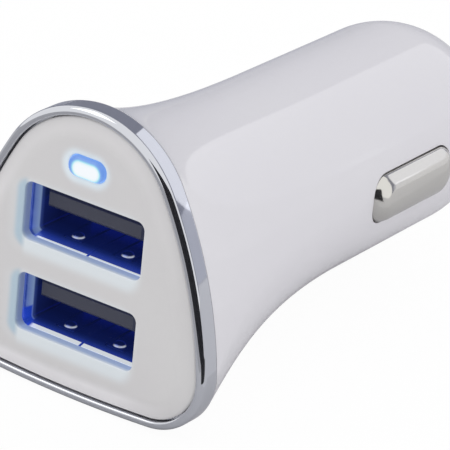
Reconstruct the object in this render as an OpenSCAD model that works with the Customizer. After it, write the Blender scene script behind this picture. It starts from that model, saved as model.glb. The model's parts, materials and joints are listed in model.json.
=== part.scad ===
// Twin-port charger plug for a car's 12 V socket.
// The plug axis runs along Y: the port face looks to -Y and the sprung tip points to +Y.
// Lengths below are measured from the port face; the origin is on the plug axis,
// level with the middle of the two side contacts.

/* [Head outline] */
// Radius of the arch over the indicator
top_r = 9.5; // [9.2:0.1:9.8]
// Height of that arch's centre above the plug axis
top_z = 5.3; // [5:0.1:5.6]
// Radius of the gently bowed flanks
side_r = 41; // [37:1:50]
// Radius of the two lower corners
corner_r = 5.2; // [4.8:0.1:5.8]
// Distance of the lower corners' centres from the middle
corner_x = 8.4; // [8:0.1:8.6]
// Height of the lower corners' centres
corner_z = -6.6; // [-6.8:0.1:-6.3]
// Radius of the nearly flat underside
bottom_r = 135; // [110:5:200]

/* [Head] */
// Width of the bright trim ring seen from the front
ring_w = 0.85; // [0.75:0.05:1]
// How far the ring's rounded front falls away to its outer edge
ring_drop = 0.65; // [0.5:0.05:0.8]
// Distance from the face to the back edge of the ring's flat outer band
band_depth = 2.25; // [2.1:0.05:2.4]
// Width of the sloping border of the face plate
border_w = 3; // [2:0.25:3.5]
// How far that border falls away at the plate's edge
border_drop = 0.4; // [0.2:0.05:0.5]

/* [Barrel] */
// Radius of the barrel that enters the socket
barrel_r = 10.4; // [10.3:0.05:10.45]
// Where the flared head has become the round barrel
flare_end = 32; // [31:0.25:32.25]
// Where the barrel starts to round off into the nose
barrel_end = 50.4; // [50:0.1:50.8]
// Where the nose is cut off flat
nose_end = 59.4; // [59.2:0.1:59.6]
// Moulding draft: how much thicker the barrel is where it leaves the flare
draft = 0.05; // [0.02:0.01:0.06]
// Wall thickness of the moulding
wall = 1.6; // [1.5:0.05:1.7]

/* [Ports] */
// Width of a port opening in the face plate
port_w = 13.3; // [13.2:0.1:13.5]
// Height of a port opening in the face plate
port_h = 5.7; // [5.6:0.05:5.8]
// Distance between the two port centres
port_pitch = 9; // [8.8:0.1:9.2]
// Height of the point midway between the ports
port_mid_z = -0.45; // [-0.6:0.05:-0.3]
// Height of the indicator window's centre
lens_z = 10.1; // [9.8:0.1:10.2]
// Width of the indicator window
lens_w = 4.1; // [3.8:0.1:4.4]
// Height of the indicator window
lens_h = 2.1; // [1.8:0.1:2.3]
// How far the indicator's light pipe stands out of the window
lens_out = 0.4; // [0.2:0.05:0.5]

/* [Contacts] */
// Distance from the face to the middle of the side contacts
contact_y = 39.8; // [39.6:0.1:40]
// Length of a side contact
contact_l = 13.6; // [12.8:0.2:13.8]
// Width of a side contact
contact_w = 4.9; // [4.5:0.1:5.2]
// How far a side contact stands out of the barrel
contact_out = 1.05; // [0.9:0.05:1.1]
// Radius of the centre pin in the nose
pin_r = 3.1; // [2.8:0.1:3.2]
// How far the centre pin stands out of the nose
pin_out = 5.8; // [5:0.2:6.4]

/* [Hidden] */
eps = 0.01;
smooth = 96;

// Outline of the head: four tangent arcs on the right half, each found from its neighbours
function dir(t) = [cos(t), sin(t)];
arch_c = [0, top_z];
corner_c = [corner_x, corner_z];
between = corner_c - arch_c;
gap = norm(between);
reach_arch = side_r - top_r;
reach_corner = side_r - corner_r;
along = (gap * gap + reach_arch * reach_arch - reach_corner * reach_corner) / (2 * gap);
across = sqrt(reach_arch * reach_arch - along * along);
side_c = arch_c + along * between / gap + across * [between[1], -between[0]] / gap;
bottom_c = [0, corner_z + sqrt(pow(bottom_r - corner_r, 2) - corner_x * corner_x)];
arch_end = atan2(arch_c[1] - side_c[1], arch_c[0] - side_c[0]);
side_end = atan2(corner_c[1] - side_c[1], corner_c[0] - side_c[0]);
corner_end = atan2(corner_c[1] - bottom_c[1], corner_c[0] - bottom_c[0]);

// Each arc as centre, radius, first and last normal angle, and number of steps
arcs = [
    [arch_c, top_r, 90, arch_end, 9],
    [side_c, side_r, arch_end, side_end, 4],
    [corner_c, corner_r, side_end, corner_end, 10],
    [bottom_c, bottom_r, corner_end, -90, 2]
];
half = [for (a = arcs) for (i = [0:a[4] - 1])
    [a[0], a[1], a[2] + (a[3] - a[2]) * i / a[4]]];
middle = [bottom_c, bottom_r, -90];
last = len(half) - 1;
rim = concat(half, [middle],
    [for (i = [last:-1:1]) [[-half[i][0][0], half[i][0][1]], half[i][1], 180 - half[i][2]]]);

root_r = barrel_r + draft;

// The underside keeps the head's outline for longer, and the top leaves it a little sooner
under_lag = 1.05;
over_lead = 0.07;
function late(w, t) = pow(w, 1 + (sin(t) < 0 ? under_lag : -over_lead) * pow(sin(t), 2));

// A section between the head outline and the barrel: the centres of its arcs
// move to the plug axis while their radii grow or shrink to the barrel's
function section(w, off) = [for (s = rim) let (k = late(w, s[2]))
    (1 - k) * s[0] + ((1 - k) * (s[1] + off.x) + k * root_r + off.y) * dir(s[2])];
function head_outline(off) = section(0, [off, 0]);
function lift(points, y) = [for (p = points) [p[0], y, p[1]]];

// How far the section has become the barrel at a distance from the face
flare_len = 34.2;
function swell(y) = pow(1 - pow(1 - (y - band_depth) / flare_len, 2.7), 0.9);
function blend(y) = swell(y) / swell(flare_end);
shell_off = ring_w - 0.03;
// The loft stays a hair inside the barrel's edges, so that the two meet face to face
tuck = 0.03;
function shell_ring(y, depth) = lift(section(blend(y), [shell_off, -depth - tuck]), y);

// Face-to-back distances
rebate_depth = 1.3;
rebate_end = 3.6;
plate_seat = 1.2;
plate_back = 1.1;
skirt_end = 2.9;
spigot_end = 3.3;
mouth_y = 1.15;
mouth_len = 1.2;
usb_back = 12.3;
board_t = 1.6;
port_board_y = 12.6;
port_board_back = port_board_y + board_t;
board_end = 48.5;
terminal_t = 0.6;
pin_hole_y = 57.2;
flange_t = 1.2;
spigot_off = -0.6;
spigot_t = 0.75;
skirt_t = 0.8;
bore_r = barrel_r - wall;
nose_arc_r = 10.5;
pocket_r = 5.2;
fit = 0.1;

// Metal shell of a port
usb_w = 13.1;
usb_h = 5.7;
usb_t = 0.3;
flare = 0.3;
tongue_w = 11.1;
tongue_t = 1.84;
tongue_gap = 0.72;
tongue_y = 1.8;
base_y = 10.3;
pad_w = 1;
pad_t = 0.25;
pad_x = [-3.5, -1, 1, 3.5];
pin_w = 0.6;
leg_w = 1.4;
finger_x = 2.8;

// Leads of the indicator lamp, and the play of every lead and pin in its hole
lead_x = 0.8;
lead_w = 0.5;
lead_z = lens_z - 1.2;
hole_gap = 0.1;

// Inductor on the main board
coil_y = 26;
coil_r = 3.9;
coil_h = 5;
coil_rim = 0.9;
coil_hub = 1.7;

// Side contacts and their springs
contact_top = barrel_r + contact_out;
flange_x = 7.6;
flange_h = 0.5;
contact_gap = 0.15;
contact_wall = 0.45;
narrow_half = 5.7;
wide_half = 8.2;
leaf_t = 0.25;
leaf_w = 5.4;

// Moves a piece measured from the face into the part's own frame
module from_face() {
    translate([0, -contact_y, 0]) children();
}

// Extrudes an outline drawn in X and Z from one distance behind the face to another
module along_y(a, b) {
    translate([0, b, 0]) rotate([90, 0, 0]) linear_extrude(height = b - a) children();
}

// Extrudes an outline drawn in Y and Z along X
module along_x(a, b) {
    translate([a, 0, 0]) rotate([90, 0, 90]) linear_extrude(height = b - a) children();
}

// Turns a profile drawn as radius and distance about the plug axis
module about_y() {
    rotate([-90, 0, 0]) rotate_extrude($fn = smooth) children();
}

// Skins a list of like sections, with flat ends or closed on itself as a ring
module skin(rings, ring = false) {
    n = len(rings[0]);
    m = len(rings);
    spans = ring ? m : m - 1;
    sides = [for (j = [0:spans - 1]) for (i = [0:n - 1])
        each [[j * n + i, (j + 1) % m * n + (i + 1) % n, j * n + (i + 1) % n],
            [j * n + i, (j + 1) % m * n + i, (j + 1) % m * n + (i + 1) % n]]];
    ends = ring ? [] : [[for (i = [0:n - 1]) i], [for (i = [n - 1:-1:0]) (m - 1) * n + i]];
    polyhedron(points = [for (r = rings) each r], faces = concat(sides, ends));
}

// Rounded rectangle as points, clockwise from the top of its right side
corner_steps = 6;
function rounded_points(w, h, r) = [for (q = [0:3]) for (i = [0:corner_steps])
    let (a = 90 - 90 * q - 90 * i / corner_steps, sx = q < 2 ? 1 : -1, sz = q % 3 == 0 ? 1 : -1)
        [sx * (w / 2 - r), sz * (h / 2 - r)] + r * dir(a)];

module rounded_rect(w, h, r) {
    polygon(rounded_points(w, h, r));
}

// Height of the metal shell's centre in the upper or lower port
function port_z(side) = port_mid_z + side * port_pitch / 2;

// White moulding: flared head, round barrel and rounded nose in one piece
module main_shell() {
    flare_ys = [band_depth, 2.6, 3.4, 4.6, 6, 8, 10, 12, 14.5, 17, 20, 23, 26, 29, flare_end];
    inner_ys = [for (i = [len(flare_ys) - 1:-1:3]) flare_ys[i]];
    nose_r = barrel_r - nose_arc_r;
    nose_angle = asin((nose_end - barrel_end) / nose_arc_r);
    rebate_off = shell_off - rebate_depth;
    draft_end = contact_y + contact_l / 2 + 0.6;
    color("white") from_face() difference() {
        union() {
            skin(concat([for (y = flare_ys) shell_ring(y, 0)],
                [for (y = inner_ys) shell_ring(y, wall)],
                [for (y = [rebate_end, band_depth]) lift(head_outline(rebate_off), y)]),
                ring = true);
            about_y() difference() {
                polygon(concat([[0, flare_end], [root_r, flare_end], [barrel_r, draft_end]],
                    [for (i = [0:12]) let (a = nose_angle * i / 12)
                        [nose_r + nose_arc_r * cos(a), barrel_end + nose_arc_r * sin(a)]],
                    [[0, nose_end]]));
                translate([0, flare_end - 1]) square([bore_r, barrel_end - flare_end + 1]);
                translate([0, flare_end - 1]) square([pocket_r, pin_hole_y - flare_end + 1]);
                translate([0, flare_end]) square([pin_r + fit, nose_end]);
            }
        }
        for (s = [-1, 1]) translate([s * (barrel_r - 1), contact_y, 0])
            along_x(-wall * 1.6, wall * 1.6)
                rounded_rect(contact_l + 2 * contact_gap, contact_w + 2 * contact_gap, 2);
    }
}

// Bright ring: rounded front, flat outer band and a spigot that enters the moulding
module trim_ring() {
    front = [for (i = [0:6]) let (a = 90 * i / 6)
        [ring_w * sin(a), ring_drop * (1 - cos(a))]];
    spigot_in = spigot_off - spigot_t;
    profile = concat(front, [[ring_w, band_depth], [spigot_off, band_depth],
        [spigot_off, spigot_end], [spigot_in, spigot_end], [spigot_in, plate_seat],
        [0, plate_seat]]);
    color("silver") from_face()
        skin([for (p = profile) lift(head_outline(p[0]), p[1])], ring = true);
}

// White front panel with its sloping border, two port openings and the window
module face_plate() {
    edge = -0.12;
    skirt_off = spigot_off - spigot_t - fit;
    profile = [[-border_w, 0], [-border_w * 0.6, border_drop * 0.2],
        [-border_w * 0.25, border_drop * 0.6], [edge - 0.12, border_drop],
        [edge, border_drop + 0.12], [edge, plate_seat], [skirt_off, plate_seat],
        [skirt_off, skirt_end], [skirt_off - skirt_t, skirt_end],
        [skirt_off - skirt_t, plate_back]];
    color("whitesmoke") from_face() difference() {
        skin([for (p = profile) lift(head_outline(p[0]), p[1])]);
        for (s = [-1, 1]) translate([0, 0, port_z(s)])
            along_y(-1, skirt_end) rounded_rect(port_w, port_h, 0.8);
        translate([0, 0, lens_z]) along_y(-1, skirt_end)
            rounded_rect(lens_w, lens_h, lens_h / 2 - 0.05);
    }
}

// Clear light pipe: rounded end proud of the window, and a flange behind the panel
module led_lens() {
    end_r = 0.35;
    lens_flange = 0.8;
    w = lens_w - fit;
    h = lens_h - fit;
    function pipe(inset, y) =
        lift(rounded_points(w - 2 * inset, h - 2 * inset, h / 2 - inset - 0.02), y);
    rounding = [for (a = [0:22.5:90])
        pipe(end_r * (1 - sin(a)), -lens_out + end_r * (1 - cos(a)))];
    color("lightcyan") from_face() translate([0, 0, lens_z]) {
        skin(concat(rounding, [pipe(0, plate_back + lens_flange / 2)]));
        along_y(plate_back, plate_back + lens_flange)
            rounded_rect(lens_w + 1, lens_h + 0.6, lens_h / 2 + 0.2);
    }
}

// Wired lamp behind the window: round body with a rim, and two leads to the port board
module indicator_led() {
    body_r = 1.5;
    dome_y = plate_back + 1.2;
    rim_y = dome_y + 4;
    rim_t = 0.8;
    color("skyblue") from_face() {
        translate([0, 0, lens_z - 0.25]) about_y() union() {
            translate([0, dome_y + body_r]) square([body_r, rim_y - dome_y - body_r]);
            translate([0, rim_y]) square([body_r + 0.25, rim_t]);
            intersection() {
                translate([0, dome_y + body_r]) circle(r = body_r, $fn = 48);
                translate([0, dome_y]) square([body_r, body_r]);
            }
        }
        for (x = [-1, 1]) translate([x * lead_x - lead_w / 2, rim_y + rim_t, lead_z])
            cube([lead_w, port_board_back + 0.6 - rim_y - rim_t, lead_w]);
    }
}

// Folded steel shell of one port: flared mouth, seam, spring fingers and solder legs
module usb_shell(side) {
    body_y = mouth_y + mouth_len;
    finger_y = 2.8;
    finger_l = 4.4;
    finger_w = 1.8;
    slot = 0.3;
    seam = 0.16;
    inside_w = usb_w - 2 * usb_t;
    inside_h = usb_h - 2 * usb_t;
    color("gainsboro") from_face() translate([0, 0, port_z(side)]) {
        difference() {
            union() {
                along_y(body_y, usb_back) rounded_rect(usb_w, usb_h, 0.6);
                skin([lift(rounded_points(usb_w + 2 * flare, usb_h + 2 * flare, 0.9), mouth_y),
                    lift(rounded_points(usb_w, usb_h, 0.6), body_y)]);
            }
            along_y(body_y - eps, usb_back + 1) rounded_rect(inside_w, inside_h, 0.35);
            skin([lift(rounded_points(inside_w + 2 * flare, inside_h + 2 * flare, 0.6),
                    mouth_y - eps), lift(rounded_points(inside_w, inside_h, 0.35), body_y)]);
            translate([-seam / 2, mouth_y - 1, -usb_h / 2 - flare - eps])
                cube([seam, usb_back - mouth_y + 2, usb_t + flare + 0.1]);
            for (x = [-1, 1]) for (z = [-1, 1])
                translate([x * finger_x, finger_y, z * usb_h / 2]) difference() {
                    translate([-finger_w / 2 - slot, -slot, -1])
                        cube([finger_w + 2 * slot, finger_l, 2]);
                    translate([-finger_w / 2, 0, -1.5]) cube([finger_w, finger_l + 1, 3]);
                }
        }
        for (x = [-1, 1]) for (z = [-1, 1])
            translate([x * finger_x, finger_y + 0.7, z * (usb_h / 2 - usb_t)])
                scale([1, 1, 0.6]) sphere(r = 0.6, $fn = 16);
        for (x = [-1, 1]) translate([x * (usb_w - usb_t) / 2 - usb_t / 2, usb_back, -leg_w / 2])
            cube([usb_t, port_board_back + 0.5 - usb_back, leg_w]);
    }
}

// Moulded insulator of one port: the tongue and the block that carries it
module usb_insulator(side) {
    inside_h = usb_h - 2 * usb_t;
    tongue_top = inside_h / 2 - tongue_gap;
    tongue_low = tongue_top - tongue_t;
    color("dimgray") from_face() translate([0, 0, port_z(side)]) difference() {
        union() {
            along_y(base_y, usb_back - eps)
                rounded_rect(usb_w - 2 * usb_t - fit, inside_h - fit, 0.4);
            hull() {
                translate([-tongue_w / 2, tongue_y + 0.5, tongue_low])
                    cube([tongue_w, base_y - tongue_y, tongue_t]);
                translate([-tongue_w / 2 + 0.4, tongue_y, tongue_low + 0.4])
                    cube([tongue_w - 0.8, 0.5, tongue_t - 0.6]);
            }
        }
        for (x = pad_x) translate([x - pad_w / 2, tongue_y + 1, tongue_low - eps])
            cube([pad_w, usb_back, pad_t]);
    }
}

// Four gold-faced strips let into the underside of the tongue, with pins through the board
module usb_contacts(side) {
    tongue_low = usb_h / 2 - usb_t - tongue_gap - tongue_t;
    strip_t = pad_t - 0.05;
    color("gold") from_face() for (x = pad_x) {
        start = abs(x) > 2 ? tongue_y + 1.1 : tongue_y + 2.1;
        translate([x - pad_w / 2 + 0.04, start, port_z(side) + tongue_low])
            cube([pad_w - 0.08, usb_back - start + 0.2, strip_t - 0.02]);
        translate([x - pin_w / 2, usb_back + 0.1, port_z(side) + tongue_low])
            cube([pin_w, port_board_back + 0.6 - usb_back, strip_t - 0.02]);
    }
}

// Upright board behind the ports, cut to the inside of the head
module port_board() {
    edge_gap = 0.3;
    pin_z = usb_h / 2 - usb_t - tongue_gap - tongue_t;
    module hole(x, z, w, h) {
        translate([x - w / 2 - hole_gap, port_board_y - 1, z - h / 2 - hole_gap])
            cube([w + 2 * hole_gap, board_t + 2, h + 2 * hole_gap]);
    }
    color("darkgreen") from_face() difference() {
        along_y(port_board_y, port_board_back)
            polygon(section(blend(port_board_back), [shell_off, -wall - edge_gap]));
        for (s = [-1, 1]) {
            for (x = pad_x) hole(x, port_z(s) + pin_z + pad_t / 2, pin_w, pad_t);
            for (x = [-1, 1]) hole(x * (usb_w - usb_t) / 2, port_z(s), usb_t, leg_w);
        }
        for (x = [-1, 1]) hole(x * lead_x, lead_z + lead_w / 2, lead_w, lead_w);
    }
}

// Two small lamps on the port board that light the ports from behind
module port_leds() {
    lamp_x = 8.4;
    base = [1.6, 0.7, 0.8];
    window = [1, 0.2, 0.8];
    color("dodgerblue") from_face() for (s = [-1, 1])
        translate([s * lamp_x - base.x / 2, port_board_y - base.y, port_mid_z - base.z / 2]) {
            cube(base);
            translate([(base.x - window.x) / 2, -window.y, 0]) cube(window);
        }
}

// Main board: wide behind the ports, narrow between the side contacts
module main_board() {
    step_y = contact_y - contact_l / 2 - 1.6;
    plan = [[-wide_half, port_board_back], [wide_half, port_board_back],
        [wide_half, step_y - 2], [narrow_half, step_y], [narrow_half, board_end],
        [-narrow_half, board_end], [-narrow_half, step_y], [-wide_half, step_y - 2]];
    color("darkgreen") from_face() translate([0, 0, -board_t / 2])
        linear_extrude(height = board_t) polygon(plan);
}

// Small-outline package with gull-wing legs on both long sides
module chip(l, w, h, legs, pitch) {
    gull_w = pitch * 0.35;
    gull_t = 0.2;
    foot = 1;
    translate([-w / 2, -l / 2, gull_t / 2]) cube([w, l, h]);
    for (s = [-1, 1]) for (i = [0:legs - 1])
        translate([s * (w / 2 + foot * 0.4), (i - (legs - 1) / 2) * pitch - gull_w / 2, 0]) {
            translate([-foot / 2, 0, 0]) cube([foot, gull_w, gull_t]);
            translate([-gull_t / 2 - s * foot / 4, 0, 0]) cube([gull_t, gull_w, h * 0.6]);
        }
}

// Switching controller on the upper side of the board
module buck_controller() {
    color("black") from_face() translate([0, 18.4, board_t / 2])
        chip(l = 4.9, w = 3.9, h = 1.5, legs = 4, pitch = 1.27);
}

// Small port controller on the underside
module charge_controller() {
    color("black") from_face() translate([3.2, 17.4, -board_t / 2]) mirror([0, 0, 1])
        chip(l = 2.9, w = 1.6, h = 1.1, legs = 3, pitch = 0.95);
}

// Ferrite drum of the inductor
module inductor_core() {
    color("dimgray") from_face() translate([0, coil_y, board_t / 2])
        rotate_extrude($fn = 64) union() {
            square([coil_r, coil_rim]);
            square([coil_hub, coil_h]);
            translate([0, coil_h - coil_rim]) square([coil_r, coil_rim]);
        }
}

// Copper winding of the inductor, with rounded turns showing on its outside
module inductor_winding() {
    gap = 0.05;
    turns = 5;
    height = coil_h - 2 * coil_rim - 2 * gap;
    wire = height / turns;
    inner_r = coil_hub + gap;
    outer_r = coil_r - 0.8;
    color("peru") from_face() translate([0, coil_y, board_t / 2 + coil_rim + gap])
        rotate_extrude($fn = 64) union() {
            translate([inner_r, 0]) square([outer_r - inner_r + gap, height]);
            for (i = [0:turns - 1]) translate([outer_r, wire * (i + 0.5)])
                circle(r = wire / 2, $fn = 16);
        }
}

// Gap between a lying can and the board
can_gap = 0.05;

// Aluminium can with a crimped groove near one end and a bevelled edge at the other
module can(r, l) {
    groove_r = 0.3;
    groove_y = 1.5;
    bevel = 0.4;
    about_y() difference() {
        polygon([[0, 0], [r, 0], [r, l - bevel], [r - bevel, l], [0, l]]);
        translate([r, groove_y]) circle(r = groove_r, $fn = 16);
    }
}

// Input capacitor lying on top of the board
module input_capacitor() {
    r = 3.15;
    color("lightsteelblue") from_face()
        translate([0, 32.5, board_t / 2 + r + can_gap]) can(r, 8.5);
}

// Output capacitor lying under the board
module output_capacitor() {
    r = 2.5;
    color("lightsteelblue") from_face()
        translate([0, 20.5, -board_t / 2 - r - can_gap]) can(r, 9);
}

// Catch diode under the board: body with two bent end tabs
module catch_diode() {
    body = [2.6, 4.2, 2.1];
    tab = [1.5, 0.4, 1.1];
    color("dimgray") from_face() translate([0, 33.6, -board_t / 2 - 2 * tab.z]) {
        translate([-body.x / 2, -body.y / 2, 0]) cube(body);
        for (s = [-1, 1]) translate([-tab.x / 2, s * (body.y + tab.y) / 2 - tab.y / 2, tab.z])
            cube(tab);
    }
}

// Fuse near the tip: ceramic block with a metal cap at each end
module input_fuse() {
    block = [2.5, 4, 1.9];
    cap = [2.7, 1, 2];
    color("linen") from_face() translate([0, 44.6, board_t / 2]) {
        translate([-block.x / 2, -block.y / 2, (cap.z - block.z) / 2]) cube(block);
        for (s = [-1, 1]) translate([-cap.x / 2, s * 2.4 - cap.y / 2, 0]) cube(cap);
    }
}

// Rows of small resistors and capacitors beside the larger pieces, on both faces of the board
module chip_parts() {
    size = [0.8, 1.6, 0.6];
    upper = [6.3, 16.2, 2.6];
    lower = [4.4, 38, 2.8];
    color("tan") from_face() for (s = [-1, 1]) {
        for (i = [0:3]) translate([s * upper.x - size.x / 2, upper.y + upper.z * i, board_t / 2])
            cube(size);
        for (i = [0:2]) translate([s * lower.x - size.x / 2, lower.y + lower.z * i,
            -board_t / 2 - size.z]) cube(size);
    }
}

// Outline of the contact at a height: straight sides below, drawn in towards the crown,
// with a short steep ramp at the end that faces the head
module contact_slice(x, inset, ramp, shrink) {
    l = contact_l - 2 * shrink;
    w = contact_w - 2 * shrink;
    translate([x, ramp / 2 - inset / 2, 0]) along_x(0, eps)
        rounded_rect(l - ramp - inset, w - 2 * inset,
            max(0.3, min(2 - shrink - inset * 0.5, w / 2 - inset - 0.02)));
}

module contact_form(low, shrink) {
    rise = contact_out + 0.35;
    crown = 2;
    ramp = 0.6;
    hull() {
        contact_slice(low, 0, 0, shrink);
        for (a = [0:22.5:90])
            contact_slice(contact_top - shrink - eps - rise * (1 - sin(a)),
                crown * (1 - cos(a)), ramp * sin(a) + 0.7 * (1 - cos(a)), shrink);
    }
}

// Bright pressed contact: crowned pill with a ramp, and a flange that holds it in
module ground_contact() {
    difference() {
        union() {
            contact_form(flange_x, 0);
            along_x(flange_x, flange_x + flange_h) rounded_rect(contact_l + 1.4, contact_w + 1.3, 2);
        }
        contact_form(flange_x - 1, contact_wall);
    }
}

module ground_contact_right() {
    color("silver") ground_contact();
}

module ground_contact_left() {
    color("silver") mirror([1, 0, 0]) ground_contact();
}

// Bowed leaf under a side contact, with its feet on the edge of the board
module ground_spring() {
    reach = flange_x - narrow_half;
    foot = 1.2;
    span = 10.6;
    steps = 14;
    function bow(i) = [span * (i / steps - 0.5),
        narrow_half + (reach - leaf_t) * pow(cos(180 * (i / steps - 0.5)), 1.3)];
    outer = [for (i = [0:steps]) bow(i) + [0, leaf_t]];
    inner = [for (i = [steps:-1:0]) bow(i)];
    translate([0, 0, -leaf_w / 2]) linear_extrude(height = leaf_w)
        polygon([for (p = concat([[-span / 2 - foot, narrow_half + leaf_t]], outer,
            [[span / 2 + foot, narrow_half + leaf_t], [span / 2 + foot, narrow_half]], inner,
            [[-span / 2 - foot, narrow_half]])) [p[1], p[0]]]);
}

module ground_spring_right() {
    color("goldenrod") ground_spring();
}

module ground_spring_left() {
    color("goldenrod") mirror([1, 0, 0]) ground_spring();
}

// Brass plate on the end of the board that feeds the centre pin's spring
module tip_terminal() {
    color("gold") from_face() about_y() {
        translate([0, board_end]) square([4.4, terminal_t]);
        translate([0, board_end]) square([2.4, terminal_t + 1.2]);
    }
}

spring_start = board_end + terminal_t;
seat_y = pin_hole_y - 0.02;
spring_end = seat_y - flange_t;

// Coil spring behind the centre pin: a round wire swept along a helix
module tip_spring() {
    wire_r = 0.28;
    mean_r = 3.3;
    turns = 5;
    steps = 16;
    rise = spring_end - spring_start - 2 * wire_r - 0.04;
    rings = [for (i = [0:turns * steps]) let (a = 360 * i / steps, y = rise * i / (turns * steps))
        [for (k = [0:5]) let (r = mean_r + wire_r * cos(60 * k))
            [r * cos(a), spring_start + wire_r + 0.02 + y + wire_r * sin(60 * k), r * sin(a)]]];
    color("gray") from_face() skin(rings);
}

// Turned centre pin: flange held behind the nose, round shank and rounded end
module tip_pin() {
    round_r = 1.8;
    pin_end = nose_end + pin_out;
    flange_r = 4.6;
    guide_r = 2.2;
    guide_l = 1.6;
    color("silver") from_face() about_y() polygon(concat(
        [[0, spring_end - guide_l], [guide_r - 0.3, spring_end - guide_l], [guide_r, spring_end],
            [flange_r, spring_end], [flange_r, seat_y], [pin_r, seat_y]],
        [for (i = [0:8]) let (a = 90 * i / 8)
            [pin_r - round_r + round_r * cos(a), pin_end - round_r + round_r * sin(a)]],
        [[0, pin_end]]));
}

main_shell();
trim_ring();
face_plate();
led_lens();
indicator_led();
usb_shell(1);  // usb_shell_upper
usb_shell(-1);  // usb_shell_lower
usb_insulator(1);  // usb_insulator_upper
usb_insulator(-1);  // usb_insulator_lower
usb_contacts(1);  // usb_contacts_upper
usb_contacts(-1);  // usb_contacts_lower
port_board();
port_leds();
main_board();
buck_controller();
charge_controller();
inductor_core();
inductor_winding();
input_capacitor();
output_capacitor();
catch_diode();
input_fuse();
chip_parts();
ground_contact_left();
ground_contact_right();
ground_spring_left();
ground_spring_right();
tip_terminal();
tip_spring();
tip_pin();
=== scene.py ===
import json
from math import asin, atan2, cos, pi, radians, sin, sqrt

import bmesh
import bpy
from mathutils import Matrix, Vector


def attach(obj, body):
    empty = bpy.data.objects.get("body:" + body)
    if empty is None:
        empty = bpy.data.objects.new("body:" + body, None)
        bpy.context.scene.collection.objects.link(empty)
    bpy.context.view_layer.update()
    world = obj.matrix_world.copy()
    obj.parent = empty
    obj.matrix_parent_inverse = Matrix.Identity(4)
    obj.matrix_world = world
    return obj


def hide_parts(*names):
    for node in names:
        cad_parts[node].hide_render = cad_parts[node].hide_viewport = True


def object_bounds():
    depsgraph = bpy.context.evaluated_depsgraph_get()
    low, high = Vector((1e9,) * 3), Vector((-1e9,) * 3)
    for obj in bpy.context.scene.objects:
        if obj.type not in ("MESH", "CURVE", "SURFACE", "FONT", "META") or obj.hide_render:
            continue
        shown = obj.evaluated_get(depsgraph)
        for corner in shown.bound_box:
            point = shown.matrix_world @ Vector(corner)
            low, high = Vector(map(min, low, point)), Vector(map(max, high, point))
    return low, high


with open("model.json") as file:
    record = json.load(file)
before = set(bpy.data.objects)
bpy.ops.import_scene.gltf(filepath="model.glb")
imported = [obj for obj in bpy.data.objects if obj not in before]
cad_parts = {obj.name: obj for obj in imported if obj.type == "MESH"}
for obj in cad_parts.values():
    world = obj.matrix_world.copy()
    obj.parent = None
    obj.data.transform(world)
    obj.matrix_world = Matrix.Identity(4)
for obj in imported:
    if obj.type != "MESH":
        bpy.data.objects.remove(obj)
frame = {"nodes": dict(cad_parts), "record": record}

nodes = frame["nodes"]
cad_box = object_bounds()
mm = 0.001


# The view. A long lens looks down at the port face from its right-hand front, rolled a little.
# The picture is square. The origin lies on the plug's axis, level with the side contacts'
# middle, so the face is contact_y in front of it: sizes along the plug count from the face.
photo_side = 450
focal_px = 3690
sensor_mm = 36
contact_y = 39.8
aim = Vector((15.009, -contact_y, 9.654)) * mm
distance = 320 * mm
azimuth, elevation, roll = radians(32.623), radians(23.89), radians(5.938)

back = Vector((sin(azimuth) * cos(elevation), -cos(azimuth) * cos(elevation), sin(elevation)))
level = Vector((cos(azimuth), sin(azimuth), 0))
right = level * cos(roll) + back.cross(level) * sin(roll)
up = back.cross(right)
camera = bpy.data.objects.new("camera", bpy.data.cameras.new("camera"))
camera.data.sensor_width = sensor_mm
camera.data.lens = focal_px / photo_side * sensor_mm
camera.data.clip_start = 10 * mm
camera.matrix_world = Matrix.Translation(aim + back * distance) @ Matrix(
    (right, up, back)).transposed().to_4x4()
bpy.context.scene.collection.objects.link(camera)
bpy.context.scene.camera = camera
bpy.context.scene.view_settings.view_transform = "Standard"


# The studio. A white sweep lies under the plug. A large round soft lamp stands behind it in front
# of a slate backdrop, a weaker one hangs to the left, and a dark flag stands at its right front.
def linear(code):
    """An sRGB hex colour as linear red, green, blue and alpha."""
    parts = [int(code[i:i + 2], 16) / 255 for i in (1, 3, 5)]
    return [c / 12.92 if c <= 0.04045 else ((c + 0.055) / 1.055) ** 2.4 for c in parts] + [1]


def add(tree, kind, inputs=None, **settings):
    """Adds a node: settings are its properties, inputs its values or the sockets that feed it."""
    new = tree.nodes.new(kind)
    for name, value in settings.items():
        setattr(new, name, value)
    for name, value in (inputs or {}).items():
        if isinstance(value, bpy.types.NodeSocket):
            tree.links.new(value, new.inputs[name])
        else:
            new.inputs[name].default_value = value
    return new


def finish_of(name, colour, **uniform):
    """A material with a plain shader, its node tree and its shader."""
    made = bpy.data.materials.new(name)
    made.use_nodes = True
    shader = made.node_tree.nodes["Principled BSDF"]
    shader.inputs["Base Color"].default_value = linear(colour)
    for socket, value in uniform.items():
        shader.inputs[socket.replace("_", " ")].default_value = value
    return made, made.node_tree, shader


def seen_directly(tree):
    """1 for camera, glossy and transmission rays, which all see the plain white behind the plug."""
    ray = add(tree, "ShaderNodeLightPath")
    some = add(tree, "ShaderNodeMath", {0: ray.outputs["Is Camera Ray"],
                                        1: ray.outputs["Is Glossy Ray"]}, operation="MAXIMUM")
    some = add(tree, "ShaderNodeMath", {0: some.outputs[0],
                                        1: ray.outputs["Is Transmission Ray"]}, operation="MAXIMUM")
    return some.outputs[0]


floor_z = cad_box[0][2]
floor_half = 1.5
whitened = 0.96


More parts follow.
